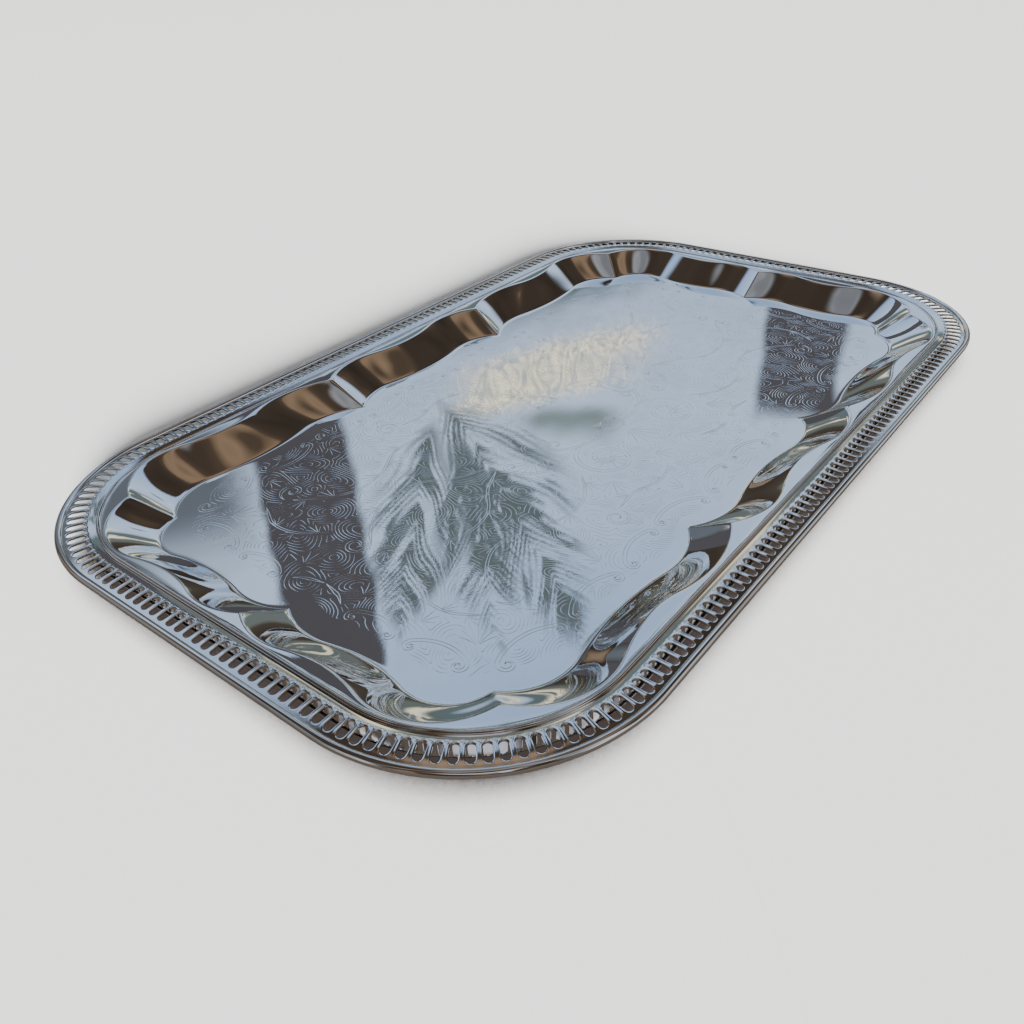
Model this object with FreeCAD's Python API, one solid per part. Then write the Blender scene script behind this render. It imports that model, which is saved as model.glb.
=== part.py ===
"""Oblong serving tray of thin chromed steel sheet.

Three pieces: the pressed well pan with its turned-down outer skirt, the pierced
border that is soldered to the pan's ledge, and the stiffening wire that the
border's outer edge is curled round.

Frame: millimetres, +Z up. The origin is the centre of the underside that the
tray rests on. X runs along the tray's length and Y across it.
"""
import FreeCAD, Part
import math
import os
from FreeCAD import Vector

# ---- driving dimensions -------------------------------------------------
LENGTH = 457.6            # over the rolled edge, along X
WIDTH = 280.6             # over the rolled edge, along Y
CORNER_RADIUS = 77.5      # of the rolled edge, in plan
SHEET = 0.6               # thickness of the pan and the border

# ---- heights above the table --------------------------------------------
FLOOR_Z = SHEET           # serving face of the floor
LAND_Z = 12.2             # flat land that runs round the top of the wall
LEDGE_Z = 11.3            # ledge under the border's channel
EDGE_Z = 11.7             # centre of the rolled edge
SKIRT_END_Z = 8.1         # lower edge of the skirt, upper face
SKIRT_END_BELOW_Z = 7.68
CROWN_Z = 13.1            # top of the border's arched, slotted band

# ---- rim, as distances in from the outer edge ---------------------------
EDGE_RADIUS = 1.6         # outside of the rolled edge
WIRE_RADIUS = EDGE_RADIUS - SHEET
CURL_START = 22.0         # degrees; where the border's arch runs into the roll
CURL_END = -30.0          # degrees; the curl's raw edge, inside and underneath
ARCH_MIDDLE = 8.0
ARCH_END = 12.9           # inner foot of the arch
ARCH_END_Z = 12.45
CHANNEL_START = 14.9      # flat bottom of the channel, soldered to the ledge
CHANNEL_END = 15.9
RIDGE_SIDE = 16.2         # hemmed inner edge of the border: its channel side, crest and back
RIDGE_MIDDLE = 16.5
RIDGE_Z = 12.8
RIDGE_BACK_Z = 12.4
BORDER_END = 16.95
STEP_AT = 17.05           # joggle in the pan, beside the border's inner edge
STEP_BELOW = 17.55        # the same joggle on the sheet's underside
SKIRT_TOP = 13.6          # the ledge turns down here into a short sloping skirt
SKIRT_TOP_BELOW = 13.85   # the same bend on the sheet's underside
SKIRT_END = 10.4          # the skirt's edge, under the inner half of the slots
SKIRT_END_BELOW = 10.82
BELOW_ROLL = 0.5          # how far the arch's underside starts inside its top
BELOW_BEND = 0.15         # how far it ends short of its top at the arch's inner foot
CHANNEL_BEND = 0.3        # the same difference at the channel's flat bottom

# ---- slots --------------------------------------------------------------
SLOT_WIDTH = 3.1
SLOT_START = 4.3
SLOT_END = 11.7
SLOTS_LONG = 60           # on each long straight
SLOTS_SHORT = 25          # on each short straight
SLOTS_CORNER = 22         # round each corner

# ---- scalloped outline of the well --------------------------------------
# Each lobe is (cusp, first bulge, middle, second bulge, cusp), as distances
# along the side from its centre and out from the tray's centre line.
FLOOR_LOBES = {
    "centre": ((-55.5, 94.0), (-33.0, 102.5), (0.0, 98.8), (33.0, 102.5), (55.5, 94.0)),
    "outer": ((55.5, 94.0), (79.0, 102.5), (115.0, 98.8), (150.0, 102.5), (174.0, 88.0)),
    "end": ((0.0, 185.5), (18.0, 191.0), (44.5, 187.8), (68.0, 191.0), (88.0, 174.0)),
}
TOP_LOBES = {
    "centre": ((-58.5, 114.5), (-35.0, 122.3), (0.0, 116.5), (35.0, 122.3), (58.5, 114.5)),
    "outer": ((58.5, 114.5), (88.0, 122.3), (120.0, 116.8), (155.0, 122.3), (185.0, 101.5)),
    "end": ((0.0, 205.5), (17.0, 210.5), (44.0, 206.2), (70.0, 210.2), (101.5, 185.0)),
}

STRAIGHT_X = LENGTH - 2 * CORNER_RADIUS
STRAIGHT_Y = WIDTH - 2 * CORNER_RADIUS
Z_AXIS = Vector(0, 0, 1)
ORIGIN = Vector(0, 0, 0)


# ---- outlines -----------------------------------------------------------
def half_lobe(cusp, bulge, middle):
    """Joints and arc midpoints of the two tangent arcs from a cusp to a lobe's middle.

    The first arc crests at the bulge and the second has its lowest point at the
    middle, so both run parallel to the side there.
    """
    run, rise = bulge[0] - cusp[0], bulge[1] - cusp[1]
    bulge_radius = (run**2 + rise**2) / (2 * rise)
    span, sag = middle[0] - bulge[0], bulge[1] - middle[1]
    middle_radius = (span**2 + sag**2) / (2 * sag) - bulge_radius
    centre = (bulge[0], bulge[1] - bulge_radius)
    opposite = (middle[0], middle[1] + middle_radius)
    share = bulge_radius / (bulge_radius + middle_radius)
    joint = tuple(c + share * (o - c) for c, o in zip(centre, opposite))
    turn = math.atan2(joint[0] - opposite[0], opposite[1] - joint[1]) / 2
    on_middle = (opposite[0] + middle_radius * math.sin(turn),
                 opposite[1] - middle_radius * math.cos(turn))
    return joint, on_middle


def lobe_arcs(lobe):
    """The four arcs of a lobe, each as start, a point between, and end."""
    first_cusp, first_bulge, middle, second_bulge, second_cusp = lobe
    joint, on_middle = half_lobe(first_cusp, first_bulge, middle)
    arcs = [(first_cusp, first_bulge, joint), (joint, on_middle, middle)]
    joint, on_middle = half_lobe(second_cusp, second_bulge, middle)
    return arcs + [(middle, on_middle, joint), (joint, second_bulge, second_cusp)]


def mirrored(arcs, flip_x, flip_y):
    """Arcs reflected in X or Y; one reflection alone also reverses their direction."""
    sign_x = -1 if flip_x else 1
    sign_y = -1 if flip_y else 1
    turned = [[(sign_x * x, sign_y * y) for x, y in arc] for arc in arcs]
    if flip_x == flip_y:
        return turned
    return [arc[::-1] for arc in turned[::-1]]


def scalloped_outline(lobes, z):
    """Arc edges of the well's outline at a height, clockwise from the long side's middle lobe."""
    centre = lobe_arcs(lobes["centre"])
    outer = lobe_arcs(lobes["outer"])
    end = [[(y, x) for x, y in arc[::-1]] for arc in lobe_arcs(lobes["end"])[::-1]]
    arcs = centre + outer + end
    arcs += mirrored(end, False, True) + mirrored(outer, False, True)
    arcs += mirrored(centre, False, True) + mirrored(outer, True, True)
    arcs += mirrored(end, True, True) + mirrored(end, True, False)
    arcs += mirrored(outer, True, False)
    return [Part.Arc(*[Vector(x, y, z) for x, y in arc]).toShape() for arc in arcs]


def rim_outline(inset, z):
    """Rounded rectangle parallel to the tray's outer edge."""
    radius = CORNER_RADIUS - inset
    edges = []
    for side in range(4):
        along, across = (STRAIGHT_X, STRAIGHT_Y) if side % 2 == 0 else (STRAIGHT_Y, STRAIGHT_X)
        turn = FreeCAD.Rotation(Z_AXIS, -90 * side)
        out = across / 2 + radius
        start, stop = Vector(-along / 2, out, z), Vector(along / 2, out, z)
        diagonal = radius * math.sqrt(0.5)
        middle = Vector(along / 2 + diagonal, across / 2 + diagonal, z)
        corner_end = Vector(along / 2 + radius, across / 2, z)
        points = [turn.multVec(p) for p in (start, stop, middle, corner_end)]
        edges.append(Part.LineSegment(points[0], points[1]).toShape())
        edges.append(Part.Arc(points[1], points[2], points[3]).toShape())
    return Part.Wire(edges)


# ---- the well pan -------------------------------------------------------
def skin(drop):
    """Floor, scalloped wall and the wall-top outline of one face of the sheet."""
    floor_edges = scalloped_outline(FLOOR_LOBES, FLOOR_Z - drop)
    top_edges = scalloped_outline(TOP_LOBES, LAND_Z - drop)
    faces = [Part.Face(Part.Wire(floor_edges))]
    faces += [Part.makeRuledSurface(low, high) for low, high in zip(floor_edges, top_edges)]
    return faces, Part.Wire(top_edges)


def upright_band(inset, low, high):
    """Vertical faces that follow the rim between two heights."""
    return rim_outline(inset, low).extrude(Vector(0, 0, high - low)).Faces


def flat_band(outer_wire, inner_wire):
    """Flat face between two closed outlines at one height."""
    return Part.makeFace([outer_wire, inner_wire], "Part::FaceMakerBullseye")


def sloped_band(first, second):
    """Ruled faces between two rim outlines at different insets and heights."""
    pairs = zip(first.OrderedEdges, second.OrderedEdges)
    return [Part.makeRuledSurface(a, b) for a, b in pairs]


def make_well_pan():
    upper, upper_top = skin(0)
    lower, lower_top = skin(SHEET)
    faces = upper + lower
    faces.append(flat_band(rim_outline(STEP_AT, LAND_Z), upper_top))
    faces += upright_band(STEP_AT, LEDGE_Z, LAND_Z)
    skirt_top = rim_outline(SKIRT_TOP, LEDGE_Z)
    skirt_end = rim_outline(SKIRT_END, SKIRT_END_Z)
    skirt_end_below = rim_outline(SKIRT_END_BELOW, SKIRT_END_BELOW_Z)
    skirt_top_below = rim_outline(SKIRT_TOP_BELOW, LEDGE_Z - SHEET)
    faces.append(flat_band(skirt_top, rim_outline(STEP_AT, LEDGE_Z)))
    faces += sloped_band(skirt_top, skirt_end)
    faces += sloped_band(skirt_end, skirt_end_below)
    faces += sloped_band(skirt_end_below, skirt_top_below)
    faces.append(flat_band(skirt_top_below, rim_outline(STEP_BELOW, LEDGE_Z - SHEET)))
    faces += upright_band(STEP_BELOW, LEDGE_Z - SHEET, LAND_Z - SHEET)
    faces.append(flat_band(rim_outline(STEP_BELOW, LAND_Z - SHEET), lower_top))
    shell = Part.Shell(faces)
    shell.sewShape()
    solid = Part.Solid(shell)
    if solid.Volume < 0:
        solid.reverse()
    return solid


# ---- the border and its wire --------------------------------------------
def ring(section):
    """Solid swept round the rim. The section function gives the face at a straight's end.

    It takes that end's X and the outer edge's Y.
    """
    pieces = []
    for side in range(4):
        along, across = (STRAIGHT_X, STRAIGHT_Y) if side % 2 == 0 else (STRAIGHT_Y, STRAIGHT_X)
        edge_y = across / 2 + CORNER_RADIUS
        face = section(along / 2, edge_y)
        straight = face.extrude(Vector(-along, 0, 0))
        corner = face.revolve(Vector(along / 2, across / 2, 0), Z_AXIS, -90)
        for piece in (straight, corner):
            piece.rotate(ORIGIN, Z_AXIS, -90 * side)
            pieces.append(piece)
    return pieces[0].multiFuse(pieces[1:]).removeSplitter().Solids[0]


def on_roll(radius, degrees):
    """Point on a circle about the rolled edge's centre, as (inset, z)."""
    angle = math.radians(degrees)
    return EDGE_RADIUS + radius * math.cos(angle), EDGE_Z + radius * math.sin(angle)


def border_section(x, edge_y):
    """Curled outer edge, arched band, channel and hemmed inner ridge, as one face."""
    def at(inset, z):
        return Vector(x, edge_y - inset, z)

    def arc(start, between, end):
        return Part.Arc(at(*start), at(*between), at(*end)).toShape()

    def line(start, end):
        return Part.LineSegment(at(*start), at(*end)).toShape()

    arch_start = on_roll(EDGE_RADIUS, CURL_START)
    curl_end = on_roll(EDGE_RADIUS, CURL_END)
    inner_start = on_roll(WIRE_RADIUS, 0)
    inner_end = on_roll(WIRE_RADIUS, CURL_END)
    arch_end = (ARCH_END, ARCH_END_Z)
    channel_top = (CHANNEL_START + CHANNEL_BEND, LEDGE_Z + SHEET)
    ridge_root = (CHANNEL_END, LEDGE_Z + SHEET)
    ridge_side = (RIDGE_SIDE, LEDGE_Z + 2 * SHEET)
    ridge_back = (BORDER_END, RIDGE_BACK_Z)
    arch_start_below = (arch_start[0] + BELOW_ROLL, arch_start[1] - SHEET)
    arch_end_below = (ARCH_END - BELOW_BEND, ARCH_END_Z - SHEET)
    edges = [
        arc(arch_start, on_roll(EDGE_RADIUS, 180), curl_end),
        line(curl_end, inner_end),
        arc(inner_end, on_roll(WIRE_RADIUS, 180), inner_start),
        line(inner_start, arch_start_below),
        arc(arch_start_below, (ARCH_MIDDLE, CROWN_Z - SHEET), arch_end_below),
        line(arch_end_below, (CHANNEL_START, LEDGE_Z)),
        line((CHANNEL_START, LEDGE_Z), (BORDER_END, LEDGE_Z)),
        line((BORDER_END, LEDGE_Z), ridge_back),
        arc(ridge_back, (RIDGE_MIDDLE, RIDGE_Z), ridge_side),
        line(ridge_side, ridge_root),
        line(ridge_root, channel_top),
        line(channel_top, arch_end),
        arc(arch_end, (ARCH_MIDDLE, CROWN_Z), arch_start),
    ]
    return Part.Face(Part.Wire(edges))


def wire_section(x, edge_y):
    """Round section of the stiffening wire."""
    centre = Vector(x, edge_y - EDGE_RADIUS, EDGE_Z)
    circle = Part.Circle(centre, Vector(1, 0, 0), WIRE_RADIUS).toShape()
    return Part.Face(Part.Wire(circle))


def slot_cutter():
    """Upright round-ended bar, centred on the origin, its length along Y."""
    radius = SLOT_WIDTH / 2
    reach = (SLOT_END - SLOT_START) / 2 - radius
    left_low, left_high = Vector(-radius, -reach, 0), Vector(-radius, reach, 0)
    right_low, right_high = Vector(radius, -reach, 0), Vector(radius, reach, 0)
    outline = Part.Wire([
        Part.LineSegment(left_low, left_high).toShape(),
        Part.Arc(left_high, Vector(0, reach + radius, 0), right_high).toShape(),
        Part.LineSegment(right_high, right_low).toShape(),
        Part.Arc(right_low, Vector(0, -reach - radius, 0), left_low).toShape(),
    ])
    return Part.Face(outline).extrude(Vector(0, 0, CROWN_Z))


def slot_places():
    """Centre and turn in degrees of each slot, side by side round the rim."""
    inset = (SLOT_START + SLOT_END) / 2
    places = []
    for side in range(4):
        along, across = (STRAIGHT_X, STRAIGHT_Y) if side % 2 == 0 else (STRAIGHT_Y, STRAIGHT_X)
        count = SLOTS_LONG if side % 2 == 0 else SLOTS_SHORT
        turn = FreeCAD.Rotation(Z_AXIS, -90 * side)
        reach = CORNER_RADIUS - inset
        for index in range(count):
            x = ((index + 0.5) / count - 0.5) * along
            places.append((turn.multVec(Vector(x, across / 2 + reach, 0)), -90 * side))
        for index in range(SLOTS_CORNER):
            degrees = 90 * (index + 0.5) / SLOTS_CORNER
            angle = math.radians(degrees)
            x = along / 2 + reach * math.sin(angle)
            y = across / 2 + reach * math.cos(angle)
            places.append((turn.multVec(Vector(x, y, 0)), -90 * side - degrees))
    return places


def make_pierced_border():
    plain = ring(border_section)
    cutters = []
    for centre, degrees in slot_places():
        cutter = slot_cutter()
        cutter.rotate(ORIGIN, Z_AXIS, degrees)
        cutter.translate(centre + Vector(0, 0, EDGE_Z - EDGE_RADIUS))
        cutters.append(cutter)
    return plain.cut(cutters).Solids[0]


def make_edge_wire():
    return ring(wire_section)


def main():
    os.makedirs("parts", exist_ok=True)
    nodes = {
        "well_pan": make_well_pan(),
        "pierced_border": make_pierced_border(),
        "edge_wire": make_edge_wire(),
    }
    for name, shape in nodes.items():
        box = shape.BoundBox
        print(name, shape.ShapeType, "solids", len(shape.Solids), "valid", shape.isValid(),
              "cm3 %.2f" % (shape.Volume / 1000),
              "box %.1f x %.1f x %.2f, z %.2f to %.2f"
              % (box.XLength, box.YLength, box.ZLength, box.ZMin, box.ZMax))
        shape.exportStep("parts/%s.step" % name)


main()
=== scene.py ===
"""Looks of the oblong serving tray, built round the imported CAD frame.

Lengths below are in millimetres unless a name ends in _M; meshes are scaled to
metres when they are made.
"""
import math
import bmesh
import bpy
import numpy as np
from mathutils import Matrix, Vector


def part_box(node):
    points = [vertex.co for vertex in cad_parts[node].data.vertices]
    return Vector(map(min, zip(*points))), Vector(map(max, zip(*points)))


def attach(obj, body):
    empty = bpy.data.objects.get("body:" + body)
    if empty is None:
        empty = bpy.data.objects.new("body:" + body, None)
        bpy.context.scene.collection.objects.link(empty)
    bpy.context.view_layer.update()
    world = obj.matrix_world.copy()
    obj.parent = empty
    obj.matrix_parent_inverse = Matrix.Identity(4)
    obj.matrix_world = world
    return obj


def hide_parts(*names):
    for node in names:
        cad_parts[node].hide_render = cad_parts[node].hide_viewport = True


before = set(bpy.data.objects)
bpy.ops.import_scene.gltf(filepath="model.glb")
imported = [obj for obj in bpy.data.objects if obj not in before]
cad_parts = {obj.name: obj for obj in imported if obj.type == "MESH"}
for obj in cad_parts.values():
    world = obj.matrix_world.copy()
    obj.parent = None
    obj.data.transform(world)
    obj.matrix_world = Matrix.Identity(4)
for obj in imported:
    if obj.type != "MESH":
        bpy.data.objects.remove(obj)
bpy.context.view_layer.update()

MM = 0.001
WELD_M = 2e-6                       # points closer than this become one
SHARP_ANGLE = math.radians(50)      # edges bent further than this stay sharp

# ---- sizes read from the frame -------------------------------------------
border_low, border_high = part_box("pierced_border")
pan_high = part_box("well_pan")[1]
wire_low, wire_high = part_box("edge_wire")
LENGTH = (border_high.x - border_low.x) / MM
WIDTH = (border_high.y - border_low.y) / MM
TOP_Z = border_high.z / MM
LAND_Z = pan_high.z / MM
EDGE_Z = (wire_low.z + wire_high.z) / 2 / MM
SKIRT_INSET = (border_high.x - pan_high.x) / MM

# ---- sizes shared with the CAD source ------------------------------------
CORNER_RADIUS = 77.5
SHEET = 0.6
FLOOR_Z = SHEET
LEDGE_Z = 11.3
EDGE_RADIUS = TOP_Z - EDGE_Z
WIRE_RADIUS = EDGE_RADIUS - SHEET
STEP_INSET = 17.05
SKIRT_TOP = 13.6
SKIRT_SLOPE_RUN = SKIRT_TOP - SKIRT_INSET
BORDER_END = 16.95
SLOT_WIDTH = 3.1
SLOT_START = 4.3
SLOT_END = 11.7
SLOTS_LONG = 60
SLOTS_SHORT = 25
SLOTS_CORNER = 22
HALF_X = LENGTH / 2 - CORNER_RADIUS
HALF_Y = WIDTH / 2 - CORNER_RADIUS

# Each lobe is (cusp, first bulge, middle, second bulge, cusp), as distances
# along the side from its centre and out from the tray's centre line.
FLOOR_LOBES = {
    "centre": ((-55.5, 94.0), (-33.0, 102.5), (0.0, 98.8), (33.0, 102.5), (55.5, 94.0)),
    "outer": ((55.5, 94.0), (79.0, 102.5), (115.0, 98.8), (150.0, 102.5), (174.0, 88.0)),
    "end": ((0.0, 185.5), (18.0, 191.0), (44.5, 187.8), (68.0, 191.0), (88.0, 174.0)),
}
TOP_LOBES = {
    "centre": ((-58.5, 114.5), (-35.0, 122.3), (0.0, 116.5), (35.0, 122.3), (58.5, 114.5)),
    "outer": ((58.5, 114.5), (88.0, 122.3), (120.0, 116.8), (155.0, 122.3), (185.0, 101.5)),
    "end": ((0.0, 205.5), (17.0, 210.5), (44.0, 206.2), (70.0, 210.2), (101.5, 185.0)),
}


# ---- mesh helpers ---------------------------------------------------------
def make_piece(name, points, faces, material, node):
    """A smooth mesh object from millimetre points, riding on the tray's one body."""
    mesh = bpy.data.meshes.new(name)
    mesh.from_pydata((np.asarray(points) * MM).tolist(), [], faces)
    weld = bmesh.new()
    weld.from_mesh(mesh)
    bmesh.ops.remove_doubles(weld, verts=weld.verts, dist=WELD_M)
    weld.to_mesh(mesh)
    weld.free()
    mesh.validate()
    mesh.update()
    mesh.shade_smooth()
    mesh.set_sharp_from_angle(angle=SHARP_ANGLE)
    mesh.materials.append(material)
    piece = bpy.data.objects.new(name, mesh)
    bpy.context.scene.collection.objects.link(piece)
    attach(piece, "root")
    if node:
        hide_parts(node)
    return piece


def ring_faces(rings, count, closed_across=False):
    """Quads between successive closed rings of `count` points each."""
    faces = []
    pairs = [(k, k + 1) for k in range(rings - 1)]
    if closed_across:
        pairs.append((rings - 1, 0))
    for low, high in pairs:
        a, b = low * count, high * count
        for i in range(count):
            j = (i + 1) % count
            faces.append((a + i, a + j, b + j, b + i))
    return faces


def waviness(x, y):
    """Slight unevenness of pressed sheet, in mm, for a point in plan: three long, low waves."""
    return (0.055 * np.sin(x / 17.0 + 1.3) * np.sin(y / 13.0 + 0.4)
            + 0.045 * np.sin((x + 0.7 * y) / 23.0 + 2.1)
            + 0.020 * np.sin((x - 1.3 * y) / 9.0) * np.sin(y / 7.0 + 1.0))


# ---- outlines -------------------------------------------------------------
def arc_points(centre, radius, start, stop, count):
    """Points from start towards stop round a centre; the last one is left out."""
    a0 = math.atan2(start[1] - centre[1], start[0] - centre[0])
    a1 = math.atan2(stop[1] - centre[1], stop[0] - centre[0])
    if a1 - a0 > math.pi:
        a1 -= 2 * math.pi
    if a1 - a0 < -math.pi:
        a1 += 2 * math.pi
    angles = np.linspace(a0, a1, count, endpoint=False)
    return np.stack([centre[0] + radius * np.cos(angles),
                     centre[1] + radius * np.sin(angles)], 1)


CUSP_BLUR = 1.1                     # in samples of the outline


def half_lobe(cusp, bulge, middle, count):
    """Two tangent arcs from a cusp over its bulge to the lobe's middle."""
    run, rise = bulge[0] - cusp[0], bulge[1] - cusp[1]
    bulge_radius = (run**2 + rise**2) / (2 * rise)
    span, sag = middle[0] - bulge[0], bulge[1] - middle[1]
    middle_radius = (span**2 + sag**2) / (2 * sag) - bulge_radius
    centre = np.array([bulge[0], bulge[1] - bulge_radius])
    opposite = np.array([middle[0], middle[1] + middle_radius])
    joint = centre + (opposite - centre) * bulge_radius / (bulge_radius + middle_radius)
    return np.concatenate([arc_points(centre, bulge_radius, cusp, joint, count),
                           arc_points(opposite, middle_radius, joint, middle, count)])


def lobe_points(lobe, count):
    """Points of a lobe, first cusp in, last cusp out."""
    first = half_lobe(lobe[0], lobe[1], lobe[2], count)
    second = half_lobe(lobe[4], lobe[3], lobe[2], count)
    return np.concatenate([first, [lobe[2]], second[1:][::-1]])


def blurred(values, sigma):
    """Closed sequence smoothed by a Gaussian over its index."""
    count = len(values)
    k = np.fft.fftfreq(count) * 2 * math.pi
    gain = np.exp(-0.5 * (k * sigma) ** 2)[:, None]
    return np.real(np.fft.ifft(np.fft.fft(values, axis=0) * gain, axis=0))


def scalloped_outline(lobes, count=56):
    """Closed, densely sampled outline of the well with its cusps slightly rounded."""
    centre = lobe_points(lobes["centre"], count)
    outer = lobe_points(lobes["outer"], count)
    end = lobe_points(lobes["end"], count)

    def backwards(points, cusp):
        return np.concatenate([[cusp], points[1:][::-1]])

    end_down = backwards(end, lobes["end"][4])[:, ::-1]
    outer_back = backwards(outer, lobes["outer"][4])
    centre_back = backwards(centre, lobes["centre"][4])
    flip_y, flip_x = np.array([1, -1]), np.array([-1, 1])
    loop = np.concatenate([
        centre, outer, end_down,
        end[:, ::-1] * flip_y, outer_back * flip_y,
        centre_back * flip_y, outer * flip_x * flip_y,
        end_down * flip_x * flip_y, end[:, ::-1] * flip_x,
        outer_back * flip_x,
    ])
    return blurred(loop, CUSP_BLUR)


def kept_samples(count, per_lobe, near=5, stride=3):
    """Indices of an outline: every point near a cusp and every third elsewhere."""
    index = np.arange(count)
    from_cusp = np.minimum(index % per_lobe, per_lobe - index % per_lobe)
    return index[(from_cusp <= near) | (index % stride == 0)]


def on_rim(points, inset):
    """The rim outline's nearest point, at an inset, to each point outside the core."""
    core = np.clip(points, [-HALF_X, -HALF_Y], [HALF_X, HALF_Y])
    out = points - core
    out /= np.linalg.norm(out, axis=1)[:, None]
    return core + out * (CORNER_RADIUS - inset)


# ---- well pan --------------------------------------------------------------
def soft_ramp(v, start, stop, soft_start, soft_stop):
    """0 to 1 between start and stop with rounded bends."""
    def bend(x, soft):
        return soft * np.logaddexp(0, x / soft)
    return (bend(v - start, soft_start) - bend(v - stop, soft_stop)) / (stop - start)


# Shares of the way from floor outline to wall top, close together at both bends.
WALL_STEPS = (-0.14, -0.09, -0.05, -0.02, 0.0, 0.02, 0.045, 0.075, 0.12, 0.19, 0.28, 0.38,
              0.5, 0.62, 0.72, 0.81, 0.87, 0.91, 0.935, 0.952, 0.966, 0.98, 0.992)
UNDER_STEPS = (0.965, 0.93, 0.8, 0.6, 0.4, 0.2, 0.1, 0.05, 0.02, -0.03, -0.1)
# (share of the land's width, rise): flat, then a slight flare at its outer edge.
LAND_STEPS = ((0.03, 0), (0.1, 0), (0.5, 0), (0.78, 0.02), (0.88, 0.07), (0.95, 0.14), (1.0, 0.24))
# (inset, z) down the skirt's outside, round its raw edge and back up inside.
SKIRT_SECTION = tuple((SKIRT_TOP - d, LEDGE_Z - z) for d, z in (
    (-0.5, 0.0), (-0.15, 0.02), (0.1, 0.12), (0.4, 0.4), (1.8, 1.8),
    (SKIRT_SLOPE_RUN - 0.12, SKIRT_SLOPE_RUN - 0.12), (SKIRT_SLOPE_RUN, SKIRT_SLOPE_RUN + 0.05),
    (SKIRT_SLOPE_RUN - 0.05, SKIRT_SLOPE_RUN + 0.2),
    (SKIRT_SLOPE_RUN - 0.4, SKIRT_SLOPE_RUN + 0.42),
    (1.4, 2.25), (0.1, 0.95), (-0.25, 0.66), (-0.7, SHEET)))
FLOOR_SHARES = tuple(k / 24 for k in range(1, 23))
OGEE = 0.05                         # how far the wall's straight run sways

WAVE_FADE = 1.2                     # the floor's waves are gone this soon up the wall


def wall_height(v):
    """Height above the floor at a share v of the way from floor outline to wall top."""
    ramp = soft_ramp(v, 0.022, 0.965, 0.018, 0.012)
    return (LAND_Z - FLOOR_Z) * (ramp - OGEE * np.sin(2 * math.pi * ramp) / (2 * math.pi))


def build_pan(material):
    """Floor, wall, land, ledge and skirt as one closed skin of rings, top side first."""
    floor_line = scalloped_outline(FLOOR_LOBES)
    top_line = scalloped_outline(TOP_LOBES)
    keep = kept_samples(len(floor_line), len(floor_line) // 10)
    floor_line, top_line = floor_line[keep], top_line[keep]
    count = len(keep)
    rings = []

    def add(plan, z):
        rings.append(np.column_stack([plan, np.broadcast_to(z, count)]))

    def floor_ring(share, drop):
        plan = share * floor_line
        add(plan, FLOOR_Z - drop + waviness(plan[:, 0], plan[:, 1]))

    def wall_ring(v, drop):
        plan = floor_line + (top_line - floor_line) * v
        fade = float(np.clip(1 - max(v, 0) * WAVE_FADE, 0, 1))
        wave = waviness(plan[:, 0], plan[:, 1])
        add(plan, FLOOR_Z - drop + wall_height(v) + fade * wave)

    for share in FLOOR_SHARES:
        floor_ring(share, 0)
    for v in WALL_STEPS:
        wall_ring(v, 0)
    land_edge = on_rim(top_line, STEP_INSET + 0.12)
    for share, rise in LAND_STEPS:
        add(top_line + (land_edge - top_line) * share, LAND_Z + rise)
    add(on_rim(top_line, STEP_INSET + 0.04), LAND_Z + 0.2)
    add(on_rim(top_line, STEP_INSET), LAND_Z + 0.1)
    add(on_rim(top_line, STEP_INSET), LEDGE_Z)
    for inset, z in SKIRT_SECTION:
        add(on_rim(top_line, inset), z)
    add(on_rim(top_line, STEP_INSET + 0.4), LEDGE_Z - SHEET)
    add(on_rim(top_line, STEP_INSET + 0.5), LAND_Z - SHEET - 0.05)
    for v in UNDER_STEPS:
        wall_ring(v, SHEET)
    for share in FLOOR_SHARES[::-2]:
        floor_ring(share, SHEET)
    points = np.concatenate(rings)
    points[:, 2] = np.maximum(points[:, 2], 0.0)
    faces = ring_faces(len(rings), count)
    first, last = len(points), len(points) + 1
    middle_z = float(waviness(0, 0))
    points = np.vstack([points, [0, 0, FLOOR_Z + middle_z], [0, 0, max(middle_z, 0)]])
    start = (len(rings) - 1) * count
    for i in range(count):
        j = (i + 1) % count
        faces.append((first, j, i))
        faces.append((last, start + i, start + j))
    faces = [face[::-1] for face in faces]
    return make_piece("tray_pan", points, faces, material, "well_pan")


# ---- chased scrollwork ------------------------------------------------------
# Drawn in one quarter of the floor and mirrored into the other three.
LINE_WIDTH = 0.5
LINE_HEIGHT = 0.082
LINE_STEP = 0.8
PAIR_GAP = 1.5
MATTING_WIDTH = 0.45
MATTING_HEIGHT = 0.060
MATTING_PITCH = 1.5
MATTING_STEP = 1.0
MATTING_GRID = 0.5
MATTING_REACH = (186, 100)
PLAIN_MARGIN = 0.94                 # of the floor's outline; the rest is left plain
PLAIN_MIDDLE = (35, 19)             # half sizes of the plain oval
SCROLL_CLEARANCE = 1.0
WHORL_SPACING = 19.0
WHORL_JITTER = 6
WHORL_REACH = 26
SHORTEST_CHAIN = 6                  # in grid crossings


def resampled(points, step=LINE_STEP):
    """The same open path with evenly spaced points."""
    lengths = np.concatenate([[0], np.cumsum(np.linalg.norm(np.diff(points, axis=0), axis=1))])
    stations = np.linspace(0, lengths[-1], max(int(lengths[-1] / step), 2) + 1)
    return np.stack([np.interp(stations, lengths, points[:, k]) for k in (0, 1)], 1)


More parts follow.
